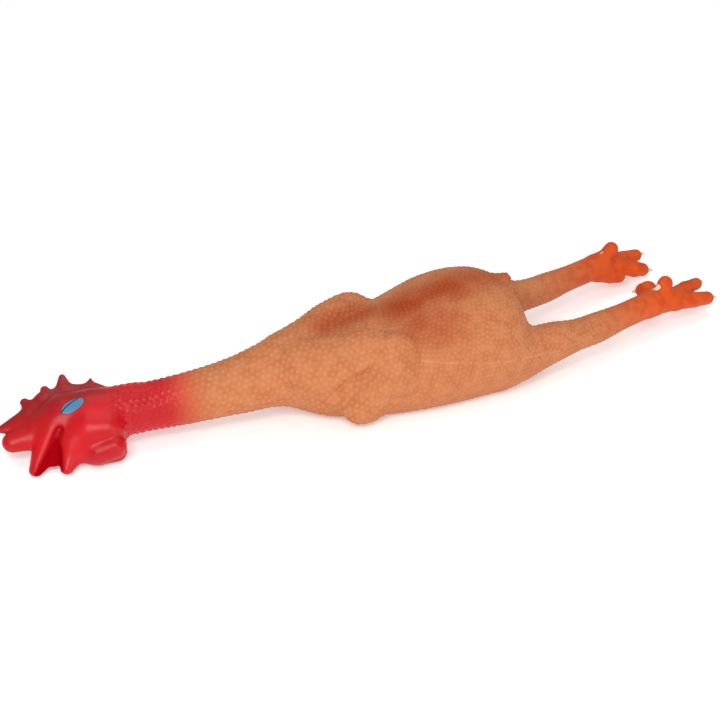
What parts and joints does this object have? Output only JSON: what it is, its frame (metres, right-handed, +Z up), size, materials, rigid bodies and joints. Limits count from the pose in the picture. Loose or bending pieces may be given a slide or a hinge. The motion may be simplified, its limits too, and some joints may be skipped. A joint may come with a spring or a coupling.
{
  "type": "rubber chicken",
  "caption": "Soft moulded plucked chicken prop with red comb head, limp neck, folded wings, loose legs with clawed feet, stuffing and a squeaker inside.",
  "frame": {"origin": "middle of the flat patch on the belly that rests on the floor", "axes": "+X towards the feet, -X towards the head, +Y towards the bird's right side, +Z up out of the back"},
  "size_m": [0.4538, 0.1038, 0.062],
  "materials": {
    "painted_red_latex": "gloss",
    "body_latex": "satin",
    "foot_latex": "satin",
    "stuffing": "matte",
    "plug_rubber": "matte",
    "squeaker_plastic": "satin",
    "reed_strip": "satin",
    "bellows_rubber": "matte"
  },
  "bodies": {
    "torso": {"torso_skin": "body_latex", "torso_filling": "stuffing", "fill_plug": "plug_rubber", "squeaker_housing": "squeaker_plastic", "squeaker_nozzle": "squeaker_plastic", "squeaker_reed": "reed_strip", "squeaker_bellows": "bellows_rubber"},
    "squeaker_plate": {"squeaker_cap": "squeaker_plastic"},
    "neck_lower": {"neck_lower_skin": "body_latex", "neck_lower_filling": "stuffing"},
    "neck_middle": {"neck_middle_skin": "body_latex", "neck_middle_filling": "stuffing"},
    "neck_upper": {"neck_upper_skin": "body_latex", "neck_upper_filling": "stuffing"},
    "head": {"head_skin": "painted_red_latex", "head_filling": "stuffing"},
    "left_thigh": {"left_thigh_skin": "body_latex", "left_thigh_filling": "stuffing"},
    "left_shank": {"left_shank_skin": "body_latex", "left_shank_filling": "stuffing"},
    "left_foot": {"left_foot": "foot_latex"},
    "right_thigh": {"right_thigh_skin": "body_latex", "right_thigh_filling": "stuffing"},
    "right_shank": {"right_shank_skin": "body_latex", "right_shank_filling": "stuffing"},
    "right_foot": {"right_foot": "foot_latex"}
  },
  "joints": [
    {"name": "neck_root_bend", "type": "hinge", "parent": "torso", "child": "neck_lower", "pos_m": [-0.095, 0.0032, 0.03], "axis": [0, 0, 1], "range_deg": [-30, 30], "stiffness_Nm_per_rad": 0.6},
    {"name": "neck_middle_lift", "type": "hinge", "parent": "neck_lower", "child": "neck_middle", "pos_m": [-0.12246, 0.0073, 0.02635], "axis": [0.1822, 0.9833, 0], "range_deg": [-30, 35], "stiffness_Nm_per_rad": 0.6},
    {"name": "neck_top_bend", "type": "hinge", "parent": "neck_middle", "child": "neck_upper", "pos_m": [-0.14981, 0.01237, 0.02318], "axis": [-0.0682, 0.0145, 0.9976], "range_deg": [-30, 30], "stiffness_Nm_per_rad": 0.6},
    {"name": "head_roll", "type": "hinge", "parent": "neck_upper", "child": "head", "pos_m": [-0.17713, 0.01818, 0.02122], "axis": [-0.9758, 0.2074, -0.0698], "range_deg": [-50, 50], "stiffness_Nm_per_rad": 0.6},
    {"name": "left_hip_lift", "type": "hinge", "parent": "torso", "child": "left_thigh", "pos_m": [0.072, -0.0278, 0.0206], "axis": [0.1564, -0.9877, 0], "range_deg": [-25, 30], "stiffness_Nm_per_rad": 0.3},
    {"name": "left_knee_sway", "type": "hinge", "parent": "left_thigh", "child": "left_shank", "pos_m": [0.10704, -0.02225, 0.01936], "axis": [0.0254, 0.0063, 0.9997], "range_deg": [-30, 6], "stiffness_Nm_per_rad": 0.2},
    {"name": "left_ankle_lift", "type": "hinge", "parent": "left_shank", "child": "left_foot", "pos_m": [0.14778, -0.01209, 0.01826], "axis": [0.1219, -0.9925, 0], "range_deg": [-30, 35], "stiffness_Nm_per_rad": 0.1},
    {"name": "right_hip_lift", "type": "hinge", "parent": "torso", "child": "right_thigh", "pos_m": [0.072, 0.0278, 0.0206], "axis": [0.1564, -0.9877, 0], "range_deg": [-25, 30], "stiffness_Nm_per_rad": 0.3},
    {"name": "right_knee_sway", "type": "hinge", "parent": "right_thigh", "child": "right_shank", "pos_m": [0.10704, 0.03335, 0.01936], "axis": [-0.0254, -0.0063, -0.9997], "range_deg": [-30, 6], "stiffness_Nm_per_rad": 0.2},
    {"name": "right_ankle_lift", "type": "hinge", "parent": "right_shank", "child": "right_foot", "pos_m": [0.14778, 0.04351, 0.01826], "axis": [0.1219, -0.9925, 0], "range_deg": [-30, 35], "stiffness_Nm_per_rad": 0.1},
    {"name": "squeaker_press", "type": "slide", "parent": "torso", "child": "squeaker_plate", "axis": [0, 0, -1], "range_m": [0, 0.006], "stiffness_N_per_m": 60, "deforming": ["squeaker_bellows"]}
  ]
}
